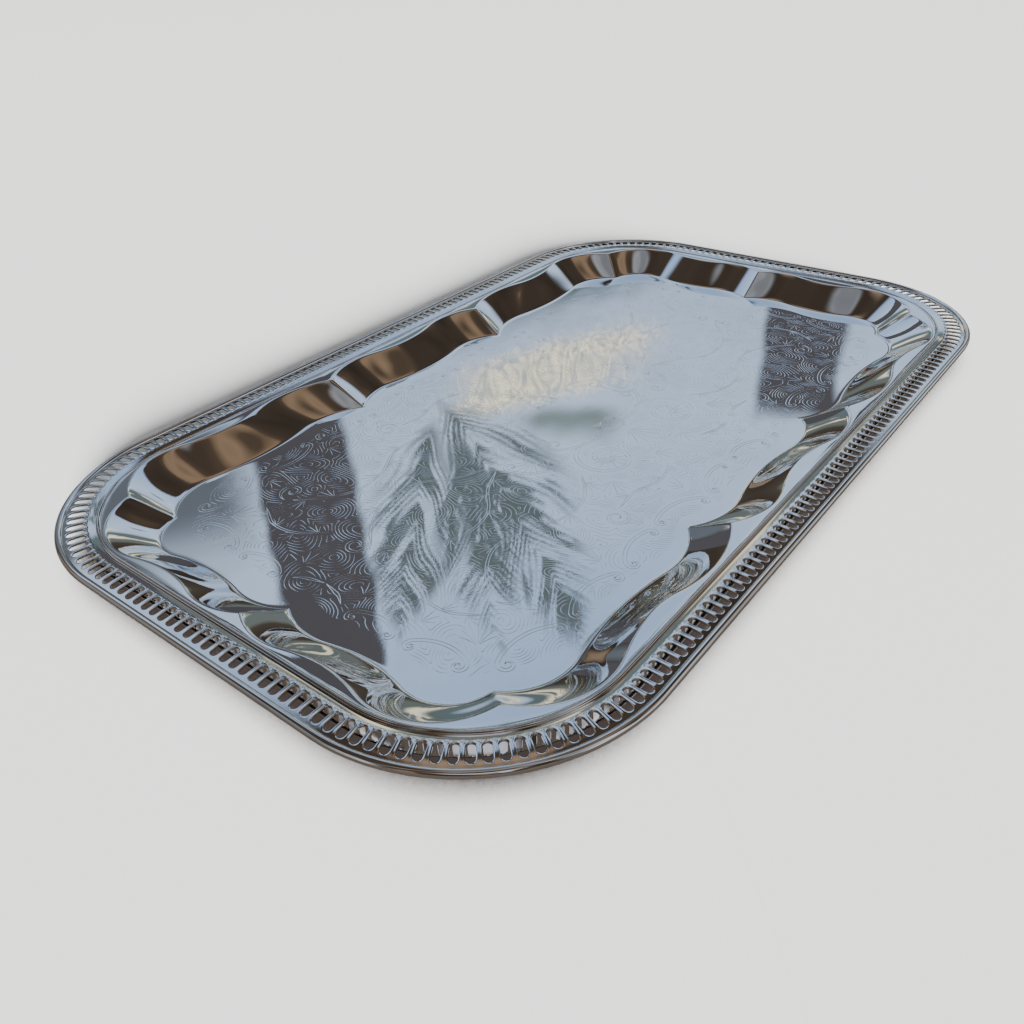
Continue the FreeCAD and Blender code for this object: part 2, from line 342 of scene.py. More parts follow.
def smooth_path(points, samples=14):
    """Curve through given points (Catmull-Rom)."""
    p = np.asarray(points, float)
    p = np.vstack([2 * p[0] - p[1], p, 2 * p[-1] - p[-2]])
    t = np.linspace(0, 1, samples, endpoint=False)[:, None]
    spans = []
    for a, b, c, d in zip(p[:-3], p[1:-2], p[2:-1], p[3:]):
        spans.append(0.5 * (2 * b + (c - a) * t + (2 * a - 5 * b + 4 * c - d) * t**2
                            + (3 * b - a - 3 * c + d) * t**3))
    return np.concatenate(spans + [p[-2:-1]])


def volute(centre, radius, start, turns, inner=0.16):
    """Spiral from its outer end, at an angle in degrees, in to its eye."""
    share = np.linspace(0, 1, int(26 * abs(turns)) + 2)
    angle = math.radians(start) + 2 * math.pi * turns * share
    reach = radius * (1 - (1 - inner) * share**0.8)
    return np.stack([centre[0] + reach * np.cos(angle), centre[1] + reach * np.sin(angle)], 1)


def scroll(start, end, bow, curl_start, curl_end, turns=1.15):
    """C-scroll: a bowed stem whose ends curl in towards its hollow side."""
    start, end = np.asarray(start, float), np.asarray(end, float)
    chord = end - start
    length = np.linalg.norm(chord)
    along = chord / length
    side = np.array([-along[1], along[0]]) * math.copysign(1, bow)
    bow = abs(bow)
    radius = (length**2 / 4 + bow**2) / (2 * bow)
    half = math.asin(min(length / 2 / radius, 1))
    middle = (start + end) / 2 + side * (bow - radius)
    sweep_angles = np.linspace(-half, half, 24)
    stem = middle + radius * (np.cos(sweep_angles)[:, None] * side
                              + np.sin(sweep_angles)[:, None] * along)
    hand = -math.copysign(1, along[0] * side[1] - along[1] * side[0])

    def curl(point, inward, size, way):
        centre = point + inward * size
        out = point - centre
        return volute(centre, size, math.degrees(math.atan2(out[1], out[0])), way * turns)

    first = curl(stem[0], (middle - stem[0]) / radius, curl_start, -hand)
    last = curl(stem[-1], (middle - stem[-1]) / radius, curl_end, hand)
    return np.concatenate([first[::-1], stem[1:-1], last])


def from_ends(count):
    """How many points each of a path's points is from its nearer end."""
    return np.minimum(np.arange(count), np.arange(count)[::-1])


def sideways(path):
    """Unit normals to a path in plan."""
    way = np.gradient(path, axis=0)
    way /= np.linalg.norm(way, axis=1)[:, None] + 1e-9
    return np.stack([-way[:, 1], way[:, 0]], 1)


def paired(path, gap=PAIR_GAP):
    """A path and a second line beside it."""
    path = resampled(path)
    taper = np.minimum(1, from_ends(len(path)) / 10)
    return [path, path + sideways(path) * (gap * taper)[:, None]]


def leaf(root, heading, length, spread, strokes=5, bend=0.5):
    """Fan of curved strokes from a root point, longest in the middle."""
    lines = []
    for k in range(strokes):
        share = 2 * k / (strokes - 1) - 1
        turn = math.radians(heading + share * spread)
        reach = length * (1 - 0.38 * share**2)
        t = np.linspace(0.12, 1, 9)[:, None]
        way = np.array([math.cos(turn), math.sin(turn)])
        side = np.array([-way[1], way[0]])
        lines.append(np.asarray(root) + reach * (t * way + bend * share * 0.5 * t**2 * side))
    return lines


def leafy_stem(points, leaf_length, sides=(1, -1), every=13.0):
    """Double stem with leaf fans growing from it on alternate sides."""
    stem = resampled(smooth_path(points))
    lines = paired(stem, 1.1)
    step = int(every / LINE_STEP)
    for count, index in enumerate(range(step // 2, len(stem) - 3, step)):
        way = stem[index + 2] - stem[index]
        side = sides[count % len(sides)]
        heading = math.degrees(math.atan2(way[1], way[0])) + side * 48
        lines += leaf(stem[index], heading, leaf_length, 30, strokes=5)
    return lines


def centre_lines():
    """Cartouche and medallion round the plain middle of the floor."""
    lines = paired(scroll((4.5, 21.5), (35, 13.5), 4.5, 3.4, 4.2))
    lines += paired(volute((39.5, 3.5), 8.2, 200, -1.5))
    lines += paired(smooth_path([(0, 15.5), (5.2, 17.5), (7.0, 22.0), (4.6, 26.2), (0.4, 26.4)]))
    lines += paired(volute((27.5, 37.0), 17.5, -110, 1.62, inner=0.2), 1.9)
    lines += paired(scroll((47, 22), (62, 6), 4.0, 3.0, 2.6))
    lines += leaf((27.5, 37.0), 60, 11, 85, strokes=9)
    lines += leaf((0, 30), 90, 17, 40, strokes=7)
    lines += leaf((49, 11), 12, 15, 38, strokes=7)
    lines += leaf((43, 49), 48, 13, 40, strokes=7)
    lines += leaf((12, 52), 120, 11, 36, strokes=5)
    return lines


def field_lines():
    """Leafy stems that run from the medallion out to the ends."""
    lines = leafy_stem([(47, 36), (62, 47), (80, 48), (96, 40), (112, 38), (126, 45), (136, 57)],
                       9.5)
    lines += paired(volute((131, 62), 7.0, -20, 1.4))
    lines += leafy_stem([(66, 2), (80, 8), (95, 20), (112, 22), (128, 14), (140, 3)], 9.0)
    lines += paired(volute((143, 9), 6.5, 250, 1.3))
    lines += leafy_stem([(14, 62), (30, 66), (46, 62), (60, 64)], 7.0, every=11)
    lines += paired(volute((66, 67), 5.5, 200, -1.4))
    lines += leafy_stem([(143, 24), (152, 36), (153, 50), (146, 62)], 7.5, every=11)
    return lines


def border_lines():
    """C-scrolls and volutes that follow the edge of the floor."""
    lines = []
    for shape in (((4, 82), (27, 87.5), -3.6, 2.6, 3.6), ((32, 88), (60, 81), -4.4, 3.6, 3.2),
                  ((66, 82), (92, 87), -4.2, 3.2, 3.8), ((98, 86), (128, 86), -5.0, 3.8, 3.6),
                  ((134, 86), (163, 80), -4.6, 3.4, 4.6), ((168, 73), (171.5, 48), -4.4, 4.2, 3.6),
                  ((172, 42), (172.5, 20), -3.8, 3.2, 3.4)):
        lines += paired(scroll(*shape))
    lines += paired(smooth_path([(172.5, 14), (168.6, 8.5), (167.2, 0)]))
    for x, heading in ((30, 92), (63, 80), (95, 90), (131, 88)):
        lines += leaf((x, 78.5), -heading, 9, 42, strokes=5)
    lines += leaf((160, 70), 218, 13, 40, strokes=7)
    lines += leaf((163, 45), 180, 9, 40, strokes=5)
    lines += leaf((164, 17), 180, 9, 40, strokes=5)
    return lines


def all_quarters(lines):
    """Each line and its three mirror images."""
    return [line * flip for line in lines for flip in ((1, 1), (-1, 1), (1, -1), (-1, -1))]


def floor_height(points):
    """Height of the floor's top under points in plan."""
    return FLOOR_Z + waviness(points[:, 0], points[:, 1])


def ribbon(paths, width, height, embed=0.03):
    """Closed three-sided ridges along paths that lie on the floor."""
    points, faces = [], []
    for path in paths:
        side = sideways(path)
        ramp = np.minimum(1, from_ends(len(path)) / 2.5)
        half = (width / 2 * (0.45 + 0.55 * ramp))[:, None]
        base = floor_height(path)
        strip = [np.column_stack([path + side * half, base - embed]),
                 np.column_stack([path - side * half, base - embed]),
                 np.column_stack([path, base + height * (0.3 + 0.7 * ramp)])]
        start = sum(len(p) for p in points)
        count = len(path)
        points += strip
        left, right, top = start, start + count, start + 2 * count
        for i in range(count - 1):
            for a, b in ((left, right), (right, top), (top, left)):
                faces.append((a + i, a + i + 1, b + i + 1, b + i))
        last = count - 1
        faces.append((left, right, top))
        faces.append((right + last, left + last, top + last))
    return np.concatenate(points), faces


def build_scrollwork(material):
    """The main lines, as one piece for each part of the pattern."""
    parts = {"chased_centre": centre_lines(), "chased_field": field_lines(),
             "chased_border": border_lines()}
    drawn = []
    for name, lines in parts.items():
        lines = all_quarters([resampled(line) for line in lines])
        drawn += lines
        points, faces = ribbon(lines, LINE_WIDTH, LINE_HEIGHT)
        make_piece(name, points, faces, material, None)
    return drawn


def whorl_field(xs, ys, rng):
    """Distance-like field whose level lines are close, even whorls like a thumbprint."""
    grid = np.stack(np.meshgrid(xs, ys, indexing="ij"), -1)
    field = np.full(grid.shape[:2], np.inf)
    for sx in np.arange(xs[0], xs[-1] + WHORL_SPACING, WHORL_SPACING):
        for sy in np.arange(ys[0], ys[-1] + WHORL_SPACING, WHORL_SPACING):
            seed = np.array([sx, sy]) + rng.uniform(-WHORL_JITTER, WHORL_JITTER, 2)
            turn, squash = rng.uniform(0, math.pi), rng.uniform(0.55, 0.95)
            around = tuple(slice(np.searchsorted(axis, place - WHORL_REACH),
                                 np.searchsorted(axis, place + WHORL_REACH))
                           for axis, place in zip((xs, ys), seed))
            away = grid[around] - seed
            u = away[..., 0] * math.cos(turn) + away[..., 1] * math.sin(turn)
            v = -away[..., 0] * math.sin(turn) + away[..., 1] * math.cos(turn)
            field[around] = np.minimum(field[around], np.hypot(u * squash, v))
    ripple = (1.1 * np.sin(grid[..., 0] / 4.1 + 0.9 * np.sin(grid[..., 1] / 6.3))
              + 0.9 * np.sin(grid[..., 1] / 3.7 + 1.1 * np.sin(grid[..., 0] / 5.2)))
    return field + ripple


def inside_outline(grid, outline):
    """Which grid points lie within a closed outline around the origin."""
    angle = np.arctan2(outline[:, 1], outline[:, 0])
    reach = np.linalg.norm(outline, axis=1)
    order = np.argsort(angle)
    limit = np.interp(np.arctan2(grid[..., 1], grid[..., 0]), angle[order], reach[order],
                      period=2 * math.pi)
    return np.linalg.norm(grid, axis=-1) < limit


def matting_area(xs, ys, lines):
    """Where the matting goes: off the scrolls, the plain middle and the plain margin."""
    grid = np.stack(np.meshgrid(xs, ys, indexing="ij"), -1)
    area = inside_outline(grid, scalloped_outline(FLOOR_LOBES) * PLAIN_MARGIN)
    middle = np.hypot(grid[..., 0] / PLAIN_MIDDLE[0], grid[..., 1] / PLAIN_MIDDLE[1]) < 1
    area &= ~middle
    step = xs[1] - xs[0]
    reach = int(SCROLL_CLEARANCE / step) + 1
    for line in lines:
        for x, y in line[::2]:
            i, j = int((x - xs[0]) / step), int((y - ys[0]) / step)
            around = (slice(max(i - reach, 0), i + reach + 2),
                      slice(max(j - reach, 0), j + reach + 2))
            away = grid[around] - (x, y)
            area[around] &= np.hypot(away[..., 0], away[..., 1]) >= SCROLL_CLEARANCE
    return area


def level_lines(field, area, xs, ys, pitch):
    """Level lines of a grid field, joined up, where the area allows."""
    lines = []
    top = field[area].max()
    for level in np.arange(pitch / 2, top, pitch):
        above = field > level
        cells = area[:-1, :-1] & area[1:, :-1] & area[:-1, 1:] & area[1:, 1:]
        code = (above[:-1, :-1] * 1 + above[1:, :-1] * 2 + above[1:, 1:] * 4 + above[:-1, 1:] * 8)
        cells &= (code > 0) & (code < 15)
        links = {}

        def crossing(i, j, edge):
            if edge in (0, 2):
                j += edge // 2
                a, b = field[i, j], field[i + 1, j]
                key = (i, j, 0)
                place = (xs[i] + (level - a) / (b - a) * (xs[i + 1] - xs[i]), ys[j])
            else:
                i += 1 if edge == 1 else 0
                a, b = field[i, j], field[i, j + 1]
                key = (i, j, 1)
                place = (xs[i], ys[j] + (level - a) / (b - a) * (ys[j + 1] - ys[j]))
            return key, place

        places = {}
        for i, j in np.argwhere(cells):
            c = [above[i, j], above[i + 1, j], above[i + 1, j + 1], above[i, j + 1]]
            cut = [edge for edge in range(4) if c[edge] != c[(edge + 1) % 4]]
            for first, second in zip(cut[::2], cut[1::2]):
                key_a, place_a = crossing(i, j, first)
                key_b, place_b = crossing(i, j, second)
                places[key_a], places[key_b] = place_a, place_b
                links.setdefault(key_a, []).append(key_b)
                links.setdefault(key_b, []).append(key_a)
        ends = [key for key, others in links.items() if len(others) == 1]
        used = set()
        for start in ends + list(links):
            if start in used:
                continue
            chain, current = [start], start
            used.add(start)
            while True:
                onward = [key for key in links[current] if key not in used]
                if not onward:
                    break
                current = onward[0]
                used.add(current)
                chain.append(current)
            if len(chain) > SHORTEST_CHAIN:
                lines.append(np.array([places[key] for key in chain]))
    return lines


def build_matting(material, lines):
    """Fine whorled lines that fill the ground between the scrolls."""
    rng = np.random.default_rng(11)
    xs, ys = (np.arange(-reach, reach, MATTING_GRID) for reach in MATTING_REACH)
    field = whorl_field(xs, ys, rng)
    area = matting_area(xs, ys, lines)
    for side, name in ((xs < 0, "matting_left"), (xs >= 0, "matting_right")):
        part = area & side[:, None]
        found = level_lines(field, part, xs, ys, MATTING_PITCH)
        found = [resampled(line, MATTING_STEP) for line in found]
        points, faces = ribbon(found, MATTING_WIDTH, MATTING_HEIGHT)
        make_piece(name, points, faces, material, None)


# ---- border ---------------------------------------------------------------
def rim_sides():
    """Half length along, distance across and turn of each side, clockwise from the far one."""
    return [(HALF_X, HALF_Y, 0.0), (HALF_Y, HALF_X, -math.pi / 2),
            (HALF_X, HALF_Y, -math.pi), (HALF_Y, HALF_X, -math.pi * 1.5)]


def rim_frames(straight_step=2.6, corner_steps=64):
    """Core points and outward directions of stations round the rim, clockwise."""
    cores, outs = [], []
    for along, across, turn in rim_sides():
        steps = int(2 * along / straight_step)
        xs = np.linspace(-along, along, steps, endpoint=False)
        local = [(x, across, 0.0) for x in xs]
        local += [(along, across, -math.pi / 2 * k / corner_steps) for k in range(corner_steps)]
        for x, y, lean in local:
            cores.append((x * math.cos(turn) - y * math.sin(turn),
                          x * math.sin(turn) + y * math.cos(turn)))
            angle = math.pi / 2 + turn + lean
            outs.append((math.cos(angle), math.sin(angle)))
    return np.array(cores), np.array(outs)


def sweep(section, frames):
    """Closed section of (inset, z) points carried round the rim."""
    cores, outs = frames
    rings = []
    for inset, z in section:
        plan = cores + outs * (CORNER_RADIUS - inset)
        rings.append(np.column_stack([plan, np.full(len(plan), z)]))
    return np.concatenate(rings), ring_faces(len(section), len(cores), closed_across=True)


def arc_section(centre, radius, start, stop, count):
    """Arc in (inset, z), angles in degrees with 0 towards the tray's centre."""
    angles = np.radians(np.linspace(start, stop, count))
    return [(centre[0] + radius * math.cos(a), centre[1] + radius * math.sin(a)) for a in angles]


CREASE = (3.0, 12.34)               # (inset, z) where the roll meets the slotted band
BAND_END = 13.3                     # inset where the band meets the channel
CHANNEL_LOW = (15.8, 11.72)
LIP_HEIGHT = 0.13
LIP_CREST = (0.42, 0.24)            # distance from the slot's edge, and half width
LIP_DROP = (0.07, 0.16)             # turned-down depth at the edge, and its half width


def build_roll(material, frames):
    """The curled outer edge, from the crease round to its raw edge."""
    centre = (EDGE_RADIUS, EDGE_Z)
    section = [CREASE, (2.95, 12.42)]
    section += arc_section(centre, EDGE_RADIUS, 34, 330, 30)
    section += arc_section(centre, WIRE_RADIUS, 330, 14, 24)
    section += [(2.8, CREASE[1] - SHEET - 0.02), (CREASE[0], CREASE[1] - SHEET)]
    points, faces = sweep(section[::-1], frames)
    return make_piece("rolled_edge", points, faces, material, "pierced_border")


def build_channel(material, frames):
    """Dished channel and the narrow hemmed ridge that laps the pan's ledge."""
    section = [(BAND_END, band_base(BAND_END)), (13.7, 12.44), (14.2, 12.28), (14.7, 12.11)]
    section += [(15.2, 11.93), (15.55, 11.80), CHANNEL_LOW, (15.98, 11.74), (16.1, 11.9)]
    section += arc_section((16.52, 12.38), 0.42, 168, 12, 9)
    section += [(BORDER_END, 12.2), (BORDER_END, LEDGE_Z), (14.9, LEDGE_Z)]
    section += [(BAND_END, band_base(BAND_END) - SHEET)]
    points, faces = sweep(section, frames)
    return make_piece("border_channel", points, faces, material, "pierced_border")


def band_base(inset):
    """Height of the slotted band's arch without the lips round its slots."""
    knots = (3.0, 4.2, 5.6, 8.0, 10.5, 12.3, 12.9, 13.3)
    heights = (12.34, 12.56, 12.74, 12.84, 12.86, 12.83, 12.74, 12.57)
    return np.interp(inset, knots, heights)


def slot_distance(inset, across):
    """Distance outside a slot's edge, for points in its own frame."""
    half = (SLOT_END - SLOT_START) / 2 - SLOT_WIDTH / 2
    middle = (SLOT_START + SLOT_END) / 2
    beyond = np.maximum(np.abs(inset - middle) - half, 0)
    return np.hypot(beyond, across) - SLOT_WIDTH / 2


def lip(inset, across, share):
    """Raised bead round a slot, strongest at its inner end and gone at its cell's edge."""
    gap = slot_distance(inset, across)
    height = LIP_HEIGHT * np.clip((inset - SLOT_START - 1.0) / 6, 0, 1)
    crest = np.exp(-((gap - LIP_CREST[0]) / LIP_CREST[1]) ** 2)
    edge = np.exp(-(gap / LIP_DROP[1]) ** 2)
    return (height * crest - LIP_DROP[0] * edge) * (1 - share**3)


def slot_outline(sides, ends):
    """Points round a slot and the matching ones round its cell, as (inset, across).

    The cell's half width is 1 here and is scaled to the pitch at its own inset.
    """
    radius = SLOT_WIDTH / 2
    low, high = SLOT_START + radius, SLOT_END - radius
    hole, cell = [], []

    def end_cap(centre, sign, limit):
        corner = ends // 4
        outer = [(centre + (limit - centre) * k / corner, 1.0) for k in range(corner)]
        outer += [(limit, 1.0 - 2.0 * k / (ends - 2 * corner)) for k in range(ends - 2 * corner)]
        outer += [(limit + (centre - limit) * k / corner, -1.0) for k in range(corner)]
        for k in range(ends):
            angle = math.pi * k / ends
            hole.append((centre + sign * radius * math.sin(angle),
                         sign * radius * math.cos(angle)))
            cell.append((outer[k][0], sign * outer[k][1]))

    for near, far, sign, limit in ((high, low, 1, BAND_END), (low, high, -1, CREASE[0])):
        end_cap(near, sign, limit)
        for k in range(sides):
            inset = near + (far - near) * (k / sides)
            hole.append((inset, -sign * radius))
            cell.append((inset, -sign))
    return np.array(hole), np.array(cell)


def build_band(material):
    """Arched band with every slot cut and lipped, one cell per slot."""
    hole, cell = slot_outline(sides=6, ends=12)
    count = len(hole)
    top_shares = (0.0, 0.1, 0.22, 0.38, 0.55, 0.75, 1.0)
    under_shares = (1.0, 0.45, 0.0)
    faces = ring_faces(len(top_shares) + len(under_shares), count, closed_across=True)
    side_wall = range((len(top_shares) - 1) * count, len(top_shares) * count)
    open_side = np.abs(cell[:, 1]) == 1
    faces = [face for k, face in enumerate(faces)
             if k not in side_wall or not (open_side[k % count] and open_side[(k + 1) % count])]
    all_points, all_faces = [], []
    for along, across, turn in rim_sides():
        slots = SLOTS_LONG if along == HALF_X else SLOTS_SHORT
        pitch = 2 * along / slots
        places = [((k + 0.5) * pitch - along, 0.0) for k in range(slots)]
        places += [(along, math.pi / 2 * (k + 0.5) / SLOTS_CORNER) for k in range(SLOTS_CORNER)]
        half_angle = math.pi / 4 / SLOTS_CORNER
        for x, lean in places:
            if lean:
                reach = CORNER_RADIUS - cell[:, 0]
                side_angle = cell[:, 1] * half_angle
                edge = np.column_stack([CORNER_RADIUS - reach * np.cos(side_angle),
                                        reach * np.sin(side_angle)])
            else:
                edge = cell * [1, pitch / 2]
            rings = [(share, 0.0) for share in top_shares]
            rings += [(share, -SHEET) for share in under_shares]
            start = len(all_points) * count
            angle = turn - lean
            c, s = math.cos(angle), math.sin(angle)
            cx = x * math.cos(turn) - across * math.sin(turn)
            cy = x * math.sin(turn) + across * math.cos(turn)
            for share, drop in rings:
                plan = hole + (edge - hole) * share
                true_inset = CORNER_RADIUS - np.hypot(CORNER_RADIUS - plan[:, 0], plan[:, 1]) \
                    if lean else plan[:, 0]
                z = band_base(true_inset) + lip(plan[:, 0], plan[:, 1], share) + drop
                local_x = plan[:, 1]
                local_y = CORNER_RADIUS - plan[:, 0]
                all_points.append(np.column_stack([cx + local_x * c - local_y * s,
                                                   cy + local_x * s + local_y * c, z]))
            all_faces += [tuple(start + i for i in face) for face in faces]
    points = np.concatenate(all_points)
    return make_piece("slotted_band", points, all_faces, material, "pierced_border")


# ---- materials --------------------------------------------------------------
def new_material(name):
    """A material with its node tree and its Principled shader."""
    material = bpy.data.materials.new(name)
    material.use_nodes = True
    tree = material.node_tree
    shader = tree.nodes["Principled BSDF"]
    return material, tree, shader


def node(tree, kind, **inputs):
    """A new node; set_ names are its own properties and the rest are its inputs."""
    made = tree.nodes.new(kind)
    for key, value in inputs.items():
        if key.startswith("set_"):
            setattr(made, key[4:], value)
        else:
            made.inputs[key.replace("_", " ")].default_value = value
    return made


def maths(tree, kind, first, second=None, clamp=False):
    """One arithmetic step; its inputs are sockets or numbers."""
    made = node(tree, "ShaderNodeMath", set_operation=kind, set_use_clamp=clamp)
    for socket, value in zip(made.inputs, (first, second)):
        if isinstance(value, (int, float)):
            socket.default_value = value
        elif value is not None:
            tree.links.new(value, socket)
    return made.outputs["Value"]


def times(tree, first, second):
    return maths(tree, "MULTIPLY", first, second)


def plus(tree, first, second):
    return maths(tree, "ADD", first, second)


def soft_step(tree, value, start, stop):
    """0 below start and 1 above stop, or the other way round."""
    made = node(tree, "ShaderNodeMapRange", set_interpolation_type="SMOOTHSTEP",
                From_Min=start, From_Max=stop)
    tree.links.new(value, made.inputs["Value"])
    return made.outputs["Result"]


def window(tree, value, low, high, soft):
    """1 between low and high, with soft edges."""
    rise = soft_step(tree, value, low - soft, low + soft)
    fall = soft_step(tree, value, high + soft, high - soft)
    return times(tree, rise, fall)


def blended(tree, share, first, second):
    """Colour mix; first and second are sockets or colours."""
    made = node(tree, "ShaderNodeMix", set_data_type="RGBA")
    tree.links.new(share, made.inputs["Factor"])
    for name, value in (("A", first), ("B", second)):
        socket = next(i for i in made.inputs if i.name == name and i.type == "RGBA")
        if isinstance(value, tuple):
            socket.default_value = (*value, 1)
        else:
            tree.links.new(value, socket)
    return next(o for o in made.outputs if o.type == "RGBA")


def colour_ramp(tree, value, stops):
    """Colour read from (position, colour) stops."""
    ramp = node(tree, "ShaderNodeValToRGB")
    elements = ramp.color_ramp.elements
    while len(elements) < len(stops):
        elements.new(0.5)
    for element, (position, colour) in zip(elements, stops):
        element.position = position
        element.color = (*colour, 1)
    tree.links.new(value, ramp.inputs["Fac"])
    return ramp.outputs["Color"]


def noise(tree, place, scale, detail, roughness=0.5, distortion=0.0):
    """Noise between 0 and 1 over a place."""
    made = node(tree, "ShaderNodeTexNoise", Scale=scale, Detail=detail, Roughness=roughness,
                Distortion=distortion)
    tree.links.new(place, made.inputs["Vector"])
    return made.outputs["Fac"]


def graded(tree, value, start, stop, low=0.0, high=1.0):
    """Low below start, high above stop and straight between."""
    made = node(tree, "ShaderNodeMapRange", From_Min=start, From_Max=stop, To_Min=low, To_Max=high)
    tree.links.new(value, made.inputs["Value"])
    return made.outputs["Result"]


def chrome(name, tint, dull, rough_low, rough_high, grain):
    """Bright plate with faint scratches, hazy patches and fine unevenness."""
    material, tree, shader = new_material(name)
    link = tree.links.new
    place = node(tree, "ShaderNodeTexCoord").outputs["Object"]
    shader.inputs["Metallic"].default_value = 1.0
    patches = graded(tree, noise(tree, place, 22.0, 4.0, 0.6), 0.45, 0.75)
    link(blended(tree, patches, tint, dull), shader.inputs["Base Color"])
    haze = noise(tree, place, 140.0, 6.0, 0.65)
    link(graded(tree, haze, 0.3, 0.75, rough_low, rough_high), shader.inputs["Roughness"])
    stretch = node(tree, "ShaderNodeMapping")
    stretch.inputs["Rotation"].default_value = (0, 0, math.radians(28))
    stretch.inputs["Scale"].default_value = (60, 1500, 300)
    link(place, stretch.inputs["Vector"])
    scratches = times(tree, noise(tree, stretch.outputs["Vector"], 1.0, 2.0), 0.25)
    bump = node(tree, "ShaderNodeBump", Strength=0.02, Distance=0.0001)
    link(plus(tree, noise(tree, place, grain, 3.0), scratches), bump.inputs["Height"])
    link(bump.outputs["Normal"], shader.inputs["Normal"])
    return material


def drawn_steel(name):
    """Plain steel wire with fine drawing marks."""
    material, tree, shader = new_material(name)
    place = node(tree, "ShaderNodeTexCoord").outputs["Object"]
    shader.inputs["Metallic"].default_value = 1.0
    shader.inputs["Base Color"].default_value = (0.42, 0.41, 0.39, 1)
    marks = noise(tree, place, 2500.0, 3.0)
    tree.links.new(graded(tree, marks, 0.0, 1.0, 0.28, 0.5), shader.inputs["Roughness"])
    return material


def pale_floor(name):
    """Matt pale floor with painted shade: its colour is darkened close under the tray where
    ambient occlusion finds the tray above, and it is painted dark for glossy rays so the plate
    mirrors it dimmer.
    """
    material, tree, shader = new_material(name)
    shader.inputs["Roughness"].default_value = 0.9
    path = node(tree, "ShaderNodeLightPath")
    # Painted reflection: glossy rays see the pale floor as dark brown-grey, so the plate mirrors a
    # dark floor.
    colour = blended(tree, path.outputs["Is Glossy Ray"],
                     (0.88, 0.88, 0.88), (0.07, 0.06, 0.053))
    # Painted shade: base colour turned near black where ambient occlusion finds the tray close
    # above.
    openness = node(tree, "ShaderNodeAmbientOcclusion", set_samples=16, Distance=0.03)
    outside_painted_shade = soft_step(tree, openness.outputs["AO"], 0.34, 0.70)
    colour = blended(tree, outside_painted_shade, (0.035, 0.028, 0.026), colour)
    tree.links.new(colour, shader.inputs["Base Color"])
    return material


# ---- stage --------------------------------------------------------------------
def build_stage():
    """Wide, pale floor just under the tray."""
    mesh = bpy.data.meshes.new("studio_floor")
    reach = 40.0
    mesh.from_pydata([(-reach, -reach, 0), (reach, -reach, 0), (reach, reach, 0),
                      (-reach, reach, 0)], [], [(0, 1, 2, 3)])
    mesh.materials.append(pale_floor("pale_floor"))
    floor = bpy.data.objects.new("studio_floor", mesh)
    floor.location.z = -0.0002
    bpy.context.scene.collection.objects.link(floor)


def frond_shade(tree, azimuth, elevation, root, tip, spread):
    """Dark leaflets slanting off both sides of a stem that runs from a root to a tip."""
    length = math.dist(root, tip)
    way = (tip[0] - root[0]) / length, (tip[1] - root[1]) / length
    out = maths(tree, "SUBTRACT", azimuth, root[0])
    up = maths(tree, "SUBTRACT", elevation, root[1])
    along = plus(tree, times(tree, out, way[0]), times(tree, up, way[1]))
    across = maths(tree, "SUBTRACT", times(tree, up, way[0]), times(tree, out, way[1]))
    aside = maths(tree, "ABSOLUTE", across)
    place = node(tree, "ShaderNodeCombineXYZ")
    slant = maths(tree, "SUBTRACT", along, times(tree, aside, 1.3))
    tree.links.new(times(tree, slant, 0.55), place.inputs["X"])
    tree.links.new(times(tree, across, 0.28), place.inputs["Y"])
    place.inputs["Z"].default_value = root[0] + tip[0]
    clumps = noise(tree, place.outputs["Vector"], 1.0, 2.0, distortion=0.25)
    wander = times(tree, clumps, 11.0)
    leaflets = maths(tree, "SINE", plus(tree, times(tree, slant, 9.5), wander))
    stem = times(tree, soft_step(tree, aside, 1.0, 0.0), 0.35)
    cover = plus(tree, times(tree, clumps, -4.2), stem)
    cover = plus(tree, times(tree, leaflets, 0.45), cover)
    dark = soft_step(tree, cover, -2.35, -1.90)
    middle = maths(tree, "SUBTRACT", times(tree, along, 2 / length), 1.0)
    narrowing = times(tree, times(tree, middle, middle), spread * 0.9)
    reach = plus(tree, aside, narrowing)
    return times(tree, dark, soft_step(tree, reach, spread, spread * 0.55))


def patch(tree, azimuth, elevation, wide, tall, soft):
    """1 inside a window of azimuths and elevations, with its own softness each way."""
    return times(tree, window(tree, azimuth, *wide, soft[0]),
                 window(tree, elevation, *tall, soft[1]))


def room_colour(tree, place, azimuth, elevation):
    """Warm, dark walls ahead and behind the camera, and plain grey ones elsewhere."""
    patches = noise(tree, place, 2.6, 1.5, 0.4, 0.8)
    warm = colour_ramp(tree, patches, (
        (0.0, (0.020, 0.015, 0.012)), (0.48, (0.055, 0.042, 0.032)), (0.57, (0.085, 0.060, 0.042)),
        (0.62, (0.27, 0.185, 0.12)), (0.68, (0.20, 0.145, 0.10)), (0.73, (0.50, 0.62, 0.8)),
        (1.0, (0.9, 0.9, 0.85))))
    overhead = patch(tree, azimuth, elevation, (22.0, 66.0), (60.0, 71.0), (8.0, 4.0))
    warm = blended(tree, overhead, warm, (0.32, 0.23, 0.16))
    grey = colour_ramp(tree, patches, (
        (0.0, (0.10, 0.105, 0.115)), (0.42, (0.20, 0.21, 0.23)), (0.54, (0.44, 0.46, 0.50)),
        (0.66, (0.80, 0.83, 0.88)), (1.0, (0.95, 0.96, 0.98))))
    low = times(tree, window(tree, azimuth, -30.0, 108.0, 10.0),
                soft_step(tree, elevation, 40.0, 28.0))
    high = patch(tree, azimuth, elevation, (-80.0, 158.0), (30.0, 79.0), (10.0, 3.0))
    near = times(tree, window(tree, azimuth, -166.0, -84.0, 6.0),
                 soft_step(tree, elevation, 80.0, 70.0))
    walls = maths(tree, "MAXIMUM", maths(tree, "MAXIMUM", low, high), near)
    return blended(tree, walls, grey, warm)


